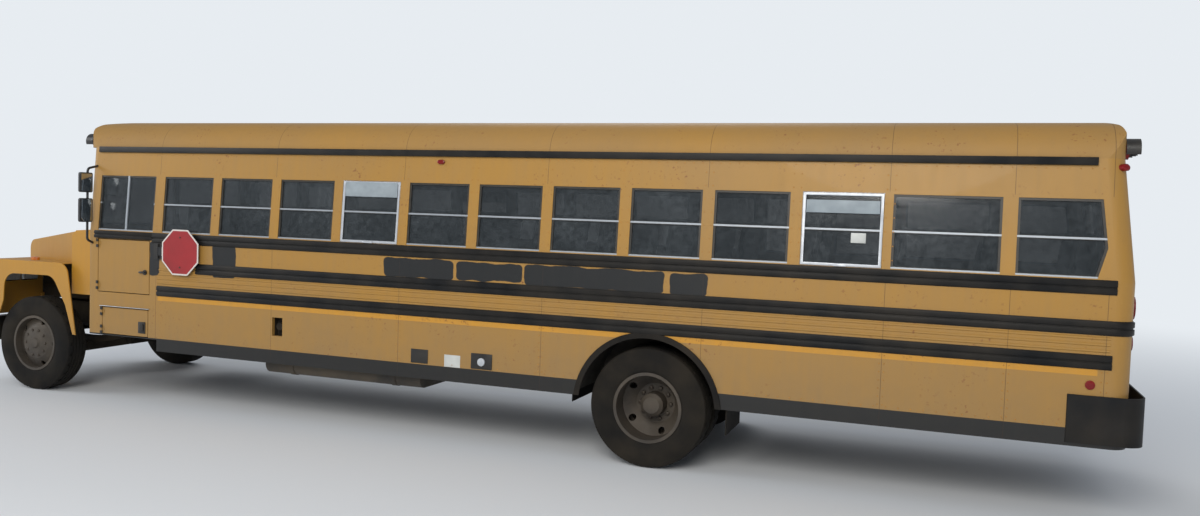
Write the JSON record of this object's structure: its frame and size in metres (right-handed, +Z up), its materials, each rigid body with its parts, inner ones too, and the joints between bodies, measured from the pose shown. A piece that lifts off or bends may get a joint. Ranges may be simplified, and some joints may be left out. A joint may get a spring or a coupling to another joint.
{
  "type": "school bus",
  "caption": "Yellow conventional school bus with a tilting nose, black rub rails, twin rear wheels, two-leaf entrance door, folding stop arm and rear emergency door.",
  "frame": {"origin": "on the ground under the middle of the bus's length and width", "axes": "+X to the rear, +Y to the entrance side (the bus's right), -Y to the driver's side, +Z up"},
  "size_m": [11.55, 2.81, 2.985],
  "materials": {
    "body_yellow": "gloss",
    "floor_grey": "satin",
    "black_trim": "satin",
    "frame_aluminium": "satin",
    "window_glass": "gloss",
    "black_rail": "satin",
    "black_rubber": "matte",
    "chassis_black": "satin",
    "bumper_black": "satin",
    "engine_iron": "matte",
    "radiator_aluminium": "satin",
    "tank_steel": "satin",
    "exhaust_steel": "satin",
    "mirror_black": "satin",
    "lens_red": "gloss",
    "lens_amber": "gloss",
    "lens_clear": "gloss",
    "dash_plastic": "matte",
    "seat_fabric": "satin",
    "grille_chrome": "gloss",
    "tyre_rubber": "matte",
    "rim_paint": "satin",
    "sign_red": "satin"
  },
  "bodies": {
    "bus": {"side_wall_left": "body_yellow", "side_wall_right": "body_yellow", "roof_shell": "body_yellow", "front_wall": "body_yellow", "rear_wall": "body_yellow", "cowl": "body_yellow", "floor_pan": "floor_grey", "stepwell": "floor_grey", "entrance_frame": "black_trim", "window_frames": "frame_aluminium", "window_glass": "window_glass", "rub_rails": "black_rail", "arch_lips": "black_rubber", "ladder_frame": "chassis_black", "cross_members": "chassis_black", "front_bumper": "bumper_black", "rear_bumper": "bumper_black", "engine_block": "engine_iron", "radiator": "radiator_aluminium", "drive_shaft": "chassis_black", "front_axle": "chassis_black", "rear_axle": "chassis_black", "fuel_tank": "tank_steel", "exhaust_pipe": "exhaust_steel", "mud_flaps": "black_rubber", "door_boxes": "chassis_black", "mirrors": "mirror_black", "red_lamps": "lens_red", "amber_lamps": "lens_amber", "lamp_visors": "black_trim", "hinge_fittings": "black_trim", "dashboard": "dash_plastic", "steering_wheel": "dash_plastic", "seat_cushions": "seat_fabric", "seat_backs": "seat_fabric", "seat_legs": "chassis_black"},
    "hood": {"tilting_hood": "body_yellow", "grille": "grille_chrome", "headlamps": "lens_clear"},
    "steer_left": {"knuckle_left": "chassis_black"},
    "steer_right": {"knuckle_right": "chassis_black"},
    "wheel_front_left": {"front_tyre_left": "tyre_rubber", "front_rim_left": "rim_paint"},
    "wheel_front_right": {"front_tyre_right": "tyre_rubber", "front_rim_right": "rim_paint"},
    "wheels_rear_left": {"rear_tyres_left": "tyre_rubber", "rear_rims_left": "rim_paint"},
    "wheels_rear_right": {"rear_tyres_right": "tyre_rubber", "rear_rims_right": "rim_paint"},
    "door_front_leaf": {"door_leaf_front": "black_trim", "door_glass_front": "window_glass"},
    "door_rear_leaf": {"door_leaf_rear": "black_trim", "door_glass_rear": "window_glass"},
    "rear_door": {"emergency_door": "body_yellow", "emergency_glass": "window_glass"},
    "access_hatch": {"access_door": "body_yellow"},
    "battery_hatch": {"battery_door": "body_yellow"},
    "stop_arm": {"stop_sign": "sign_red"}
  },
  "joints": [
    {"name": "hood_tilt", "type": "hinge", "parent": "bus", "child": "hood", "pos_m": [-5.585, 0, 0.73], "axis": [0, -1, 0], "range_deg": [0, 65]},
    {"name": "steer_left_turn", "type": "hinge", "parent": "bus", "child": "steer_left", "pos_m": [-4.922, -0.86, 0.51], "axis": [0, 0, 1], "range_deg": [-35, 35]},
    {"name": "steer_right_turn", "type": "hinge", "parent": "bus", "child": "steer_right", "pos_m": [-4.922, 0.86, 0.51], "axis": [0, 0, 1], "range_deg": [-35, 35]},
    {"name": "front_wheel_left_roll", "type": "hinge", "parent": "steer_left", "child": "wheel_front_left", "pos_m": [-4.922, -1.02, 0.51], "axis": [0, 1, 0], "continuous": true},
    {"name": "front_wheel_right_roll", "type": "hinge", "parent": "steer_right", "child": "wheel_front_right", "pos_m": [-4.922, 1.02, 0.51], "axis": [0, 1, 0], "continuous": true},
    {"name": "rear_wheels_left_roll", "type": "hinge", "parent": "bus", "child": "wheels_rear_left", "pos_m": [2.088, -0.88, 0.51], "axis": [0, 1, 0], "continuous": true},
    {"name": "rear_wheels_right_roll", "type": "hinge", "parent": "bus", "child": "wheels_rear_right", "pos_m": [2.088, 0.88, 0.51], "axis": [0, 1, 0], "continuous": true},
    {"name": "entrance_front_leaf", "type": "hinge", "parent": "bus", "child": "door_front_leaf", "pos_m": [-3.908, 1.228, 1.5], "axis": [0, 0, 1], "range_deg": [0, 90]},
    {"name": "entrance_rear_leaf", "type": "hinge", "parent": "bus", "child": "door_rear_leaf", "pos_m": [-3.216, 1.228, 1.5], "axis": [0, 0, -1], "range_deg": [0, 90]},
    {"name": "rear_door_swing", "type": "hinge", "parent": "bus", "child": "rear_door", "pos_m": [5.68, 0.446, 1.65], "axis": [0, 0, 1], "range_deg": [0, 100]},
    {"name": "access_door_swing", "type": "hinge", "parent": "bus", "child": "access_hatch", "pos_m": [-3.923, -1.228, 1.4205], "axis": [0, 0, -1], "range_deg": [0, 90]},
    {"name": "battery_door_swing", "type": "hinge", "parent": "bus", "child": "battery_hatch", "pos_m": [-3.861, -1.228, 0.845], "axis": [0, 0, -1], "range_deg": [0, 100]},
    {"name": "stop_arm_swing", "type": "hinge", "parent": "bus", "child": "stop_arm", "pos_m": [-3.09, -1.262, 1.6], "axis": [0, 0, -1], "range_deg": [0, 90]}
  ],
  "couplings": [
    {"joint": "steer_right_turn", "follows": "steer_left_turn", "ratio": 1},
    {"joint": "entrance_rear_leaf", "follows": "entrance_front_leaf", "ratio": 1}
  ]
}
